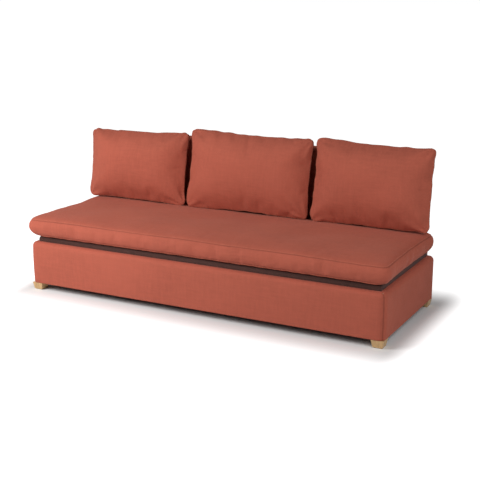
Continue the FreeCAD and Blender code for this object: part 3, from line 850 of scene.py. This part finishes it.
def outside_back(front):
    """Flat panel sewn over the rear of the back, its edge turned in and its hem turned under."""
    rings = ((0.0, front + 0.0002), (0.0012, front + 0.0016), (0.004, BACK_REAR - 0.0002),
             (0.010, BACK_REAR))
    points = []
    for inset, y in rings:
        points += [(x, y, z) for x, z in back_path(inset, BACK_UNDERSIDE)]
    columns = len(points) // len(rings)
    faces = [face[::-1] for face in strip_faces(len(rings), columns)]
    last = columns * (len(rings) - 1)
    edge_row = close_outline(points, faces, last, rings[-1][0], BACK_UNDERSIDE, BACK_REAR, True)
    for y in (BACK_REAR - 0.0012, front - 0.010):
        hem_row = [len(points) + place for place in range(len(edge_row))]
        points += [(points[corner][0], y, BACK_UNDERSIDE - REST_GAP) for corner in edge_row]
        for place in range(len(edge_row) - 1):
            faces.append([edge_row[place], edge_row[place + 1], hem_row[place + 1], hem_row[place]])
        edge_row = hem_row
    points = np.array(points)
    edge = np.minimum(BACK_HALF - np.abs(points[:, 0]), BACK_TOP - points[:, 2])
    edge = np.minimum(edge, points[:, 2] - BACK_UNDERSIDE)
    points[:, 1] += 0.0008 * np.clip(edge / 0.05, 0, 1) * ripple(points, 0.30, 91)
    piece = make_piece("outside_back_panel", points, faces, "rust_fabric")
    # Painted shade along the turned-in edge where it meets the inside back
    set_painted_shade(piece, np.exp(-((points[:, 1] - front) / 0.0012) ** 2))
    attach(piece, "base")
    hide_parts("outside_back_cover")


# Stitches and zips

def seam_loop(piece, grid, chosen):
    """Points of a seam that goes once round a cushion, in order."""
    u, v = grid[chosen, 0], grid[chosen, 1]
    sides = [np.isclose(v, -1), np.isclose(u, 1), np.isclose(v, 1)]
    place = np.select(sides, [u + 1, v + 3, 5 - u], 7 - v)
    loop = points_of(piece)[chosen][np.argsort(place)]
    return np.vstack([loop, loop[:1]])


def evenly(line, pitch):
    """Places and directions at an even pitch along a line of points."""
    line = np.asarray(line, float)
    spans = np.linalg.norm(np.diff(line, axis=0), axis=1)
    run = np.concatenate([[0], np.cumsum(spans)])
    stops = np.arange(pitch / 2, run[-1], pitch)

    def at(runs):
        return np.stack([np.interp(runs, run, line[:, axis]) for axis in range(3)], 1)

    along = at(np.minimum(stops + 0.002, run[-1])) - at(np.maximum(stops - 0.002, 0))
    return at(stops), along / np.maximum(np.linalg.norm(along, axis=1, keepdims=True), 1e-9)


class Mesh:
    """Gathers many small closed forms into one mesh."""

    def __init__(self):
        self.points = []
        self.faces = []

    def spindle(self, place, along, normal, length, radius):
        """A short thread that dips into the cloth at both ends."""
        side = np.cross(normal, along)
        first = len(self.points)
        rings = ((-0.5, 0.45, -0.5), (-0.2, 1.0, 0.35), (0.2, 1.0, 0.35), (0.5, 0.45, -0.5))
        for share, size, lift in rings:
            middle = place + along * length * share + normal * radius * lift
            for turn in np.arange(5) * 2 * math.pi / 5:
                out = math.cos(turn) * side + math.sin(turn) * normal
                self.points.append(middle + radius * size * out)
        for ring in range(3):
            for step in range(5):
                a, b = first + ring * 5 + step, first + ring * 5 + (step + 1) % 5
                self.faces.append([a, a + 5, b + 5, b])
        self.faces.append([first + step for step in range(5)])
        self.faces.append([first + 15 + step for step in range(4, -1, -1)])

    def block(self, place, axes, size, taper):
        """A box with its upper face drawn in."""
        first = len(self.points)
        for up in (-0.5, 0.5):
            wide = taper if up > 0 else 1.0
            for a, b in ((-0.5, -0.5), (0.5, -0.5), (0.5, 0.5), (-0.5, 0.5)):
                self.points.append(place + axes[0] * size[0] * a * wide + axes[1] * size[1] * b * wide
                                   + axes[2] * size[2] * up)
        for face in ((3, 2, 1, 0), (4, 5, 6, 7), (0, 1, 5, 4), (1, 2, 6, 5), (2, 3, 7, 6), (3, 0, 4, 7)):
            self.faces.append([first + corner for corner in face])


def snapped(tree, place):
    hit, normal, _, _ = tree.find_nearest(Vector(place))
    return np.array(hit), np.array(normal)


def inward(spot):
    """The way from a place to the object's middle."""
    return np.array((-spot[0], -spot[1], 0))


def forward(_):
    """The way that the front of a leaning back cushion faces, at every place."""
    return np.array((0, -math.cos(LEAN), math.sin(LEAN)))


def stitch_row(name, body, tree, line, toward, offset):
    """A row of stitches beside a seam, on the side that a direction gives."""
    mesh = Mesh()
    places, directions = evenly(line, STITCH_PITCH)
    for place, along in zip(places, directions):
        spot, normal = snapped(tree, place)
        side = np.cross(normal, along)
        if side @ toward(spot) < 0:
            side = -side
        spot, normal = snapped(tree, spot + side * offset)
        along = along - normal * (along @ normal)
        along /= np.linalg.norm(along)
        mesh.spindle(spot, along, normal, STITCH_LENGTH, STITCH_RADIUS)
    piece = make_piece(name, mesh.points, mesh.faces, "thread")
    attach(piece, body)


def zip_fastener(node, body, tree, aim, rearward=0.0):
    """Tape, coil and slider of a closed zip, lying on the cover beside the node."""
    low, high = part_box(node)
    middle = np.array((low + high) / 2)
    aim = np.array(aim, float) / np.linalg.norm(aim)
    along = np.array((1.0, 0.0, 0.0))
    spots = []
    for x in np.arange(low.x, high.x, ZIP_PITCH):
        start = np.array((x, middle[1] + rearward, middle[2])) - aim * 0.2
        hit, normal, _, _ = tree.ray_cast(Vector(start), Vector(aim))
        if hit is not None:
            side = np.cross(np.array(normal), along)
            spots.append((np.array(hit), np.array(normal), side / np.linalg.norm(side)))
    across = ((-0.011, 0.0001), (-0.009, 0.0008), (0, 0.0010), (0.009, 0.0008), (0.011, 0.0001))
    rows = []
    coil, slider = Mesh(), Mesh()
    for spot, normal, side in spots:
        rows += [spot + side * share + normal * lift for share, lift in across]
        for step, share in ((0.25, -0.0009), (0.75, 0.0009)):
            place = spot + along * ZIP_PITCH * step + side * share + normal * 0.0015
            coil.block(place, (along, side, normal), (0.0016, 0.0036, 0.0012), 0.75)
    spot, normal, side = spots[-1]
    axes = (along, side, normal)
    slider.block(spot + normal * 0.0030, axes, (0.0110, 0.0075, 0.0030), 0.8)
    slider.block(spot + normal * 0.0050 - along * 0.0105, axes, (0.0240, 0.0050, 0.0010), 0.9)
    tape = make_piece(node + "_tape", rows, strip_faces(len(spots), len(across)), "zip_tape")
    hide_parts(node)
    pieces = [(tape, "zip_tape"),
              (make_piece(node + "_coil", coil.points, coil.faces, "zip_tape", False), "zip_tape"),
              (make_piece(node + "_slider", slider.points, slider.faces, "steel", False), "steel")]
    for piece, slot in pieces:
        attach(piece, body)


def cushion_details():
    border = np.abs(seat_grid[:, :2]).max(1) > OUTER
    for name, sign in (("upper", 1), ("lower", -1)):
        loop = seam_loop(seat, seat_grid, border & (seat_grid[:, 2] * sign > OUTER))
        stitch_row("seat_cushion_%s_stitches" % name, "seat", seat_tree, loop, inward, STITCH_OFFSET)
    zip_fastener("seat_cushion_zip", "seat", seat_tree, (0, -1, 0))
    for side, (piece, grid) in cushions.items():
        tree = finished(piece)
        chosen = (np.abs(grid[:, :2]).max(1) > OUTER) & (np.abs(grid[:, 2]) < 1e-6)
        name, body = "back_cushion_" + side, "cushion_" + side
        loop = seam_loop(piece, grid, chosen)
        stitch_row(name + "_stitches", body, tree, loop, forward, STITCH_OFFSET)
        zip_fastener(name + "_zip", body, tree, (0, -0.75, 0.66), ZIP_REARWARD)


seat, seat_grid = seat_cushion()
seat_tree = finished(seat)
cushions = {side: back_cushion(side, index, seat_tree) for index, side in enumerate(SLUMP)}
base_covers()
back_covers()
deck_panel()
dust_sheet()
cushion_details()

for name, node in nodes.items():
    if name.startswith("foot_") and slots[name] == "foot_wood":
        bevel = node.modifiers.new("Rounded", "BEVEL")
        bevel.width, bevel.segments = 0.003, 3


# Studio

def floor_material():
    """Pale floor that shows white to the camera away from the object, and keeps the object's shadow."""
    shader = Shader("floor")
    tree = shader.tree
    path = shader.node("LightPath")
    seen = shader.math("MAXIMUM", path.outputs["Is Camera Ray"], path.outputs["Is Glossy Ray"])
    seen = shader.math("MAXIMUM", seen, path.outputs["Is Transmission Ray"])
    place = shader.node("SeparateXYZ")
    shader.join(shader.node("TexCoord").outputs["Object"], place.inputs[0])
    squares = []
    for axis, half, share in ((0, HALF, SHADOW_SIDE), (1, SHADOW_DEPTH, SHADOW_FRONT)):
        off = shader.math("SUBTRACT", shader.math("ABSOLUTE", place.outputs[axis]), half)
        off = shader.math("MULTIPLY", shader.math("MAXIMUM", off, 0.0), share)
        squares.append(shader.math("MULTIPLY", off, off))
    away = shader.math("SQRT", shader.math("ADD", *squares))
    ramp = shader.node("MapRange", interpolation_type="SMOOTHSTEP")
    ramp.inputs["From Max"].default_value = SHADOW_REACH
    shader.put(ramp.inputs["Value"], away)
    matte = shader.node("BsdfDiffuse")
    matte.inputs["Color"].default_value = FLOOR_TONE
    glow = shader.node("Emission")
    glow.inputs["Color"].default_value = (1, 1, 1, 1)
    level = shader.math("MULTIPLY", ramp.outputs[0], FLOOR_GLOW)
    shader.put(glow.inputs["Strength"], shader.math("MULTIPLY", seen, level))
    both = shader.node("AddShader")
    shader.join(matte.outputs[0], both.inputs[0])
    shader.join(glow.outputs[0], both.inputs[1])
    shader.join(both.outputs[0], tree.nodes["Material Output"].inputs["Surface"])
    tree.nodes.remove(shader.surface)
    return shader.material


def studio():
    mesh = bpy.data.meshes.new("floor")
    corners = [(x * FLOOR_REACH, y * FLOOR_REACH, 0) for x, y in ((-1, -1), (1, -1), (1, 1), (-1, 1))]
    mesh.from_pydata(corners, [], [(0, 1, 2, 3)])
    floor = bpy.data.objects.new("floor", mesh)
    scene.collection.objects.link(floor)
    mesh.materials.append(floor_material())

    world = bpy.data.worlds.new("studio")
    world.use_nodes = True
    scene.world = world
    tree = world.node_tree
    tree.nodes.clear()
    path = tree.nodes.new("ShaderNodeLightPath")
    soft = tree.nodes.new("ShaderNodeBackground")
    soft.inputs["Color"].default_value = (1, 1, 1, 1)
    soft.inputs["Strength"].default_value = WORLD_LIGHT
    white = tree.nodes.new("ShaderNodeBackground")
    white.inputs["Color"].default_value = (1, 1, 1, 1)
    white.inputs["Strength"].default_value = 1.0
    mixed = tree.nodes.new("ShaderNodeMixShader")
    out = tree.nodes.new("ShaderNodeOutputWorld")
    seen = tree.nodes.new("ShaderNodeMath")
    seen.operation = "MAXIMUM"
    tree.links.new(path.outputs["Is Camera Ray"], seen.inputs[0])
    tree.links.new(path.outputs["Is Glossy Ray"], seen.inputs[1])
    clear = tree.nodes.new("ShaderNodeMath")
    clear.operation = "MAXIMUM"
    tree.links.new(seen.outputs[0], clear.inputs[0])
    tree.links.new(path.outputs["Is Transmission Ray"], clear.inputs[1])
    tree.links.new(clear.outputs[0], mixed.inputs[0])
    tree.links.new(soft.outputs[0], mixed.inputs[1])
    tree.links.new(white.outputs[0], mixed.inputs[2])
    tree.links.new(mixed.outputs[0], out.inputs["Surface"])

    add_lamp("key", KEY_PLACE, KEY_POWER)
    add_lamp("fill", FILL_PLACE, FILL_POWER)

    camera = bpy.data.cameras.new("camera")
    camera.lens = FOCAL_PIXELS / PICTURE_PIXELS * SENSOR
    camera.sensor_width = SENSOR
    camera.clip_end = 200
    holder = bpy.data.objects.new("camera", camera)
    scene.collection.objects.link(holder)
    holder.location = CAMERA_PLACE
    holder.rotation_euler = (math.radians(90 - CAMERA_DOWN), 0, math.radians(CAMERA_ROUND))
    scene.camera = holder
    scene.view_settings.view_transform = "Standard"


def add_lamp(name, place, power):
    lamp = bpy.data.lights.new(name, "AREA")
    lamp.shape = "DISK"
    lamp.size = LAMP_SIZE
    lamp.energy = power
    holder = bpy.data.objects.new(name, lamp)
    scene.collection.objects.link(holder)
    holder.location = place
    holder.rotation_euler = (Vector(LAMP_AIM) - Vector(place)).to_track_quat("-Z", "Y").to_euler()


studio()
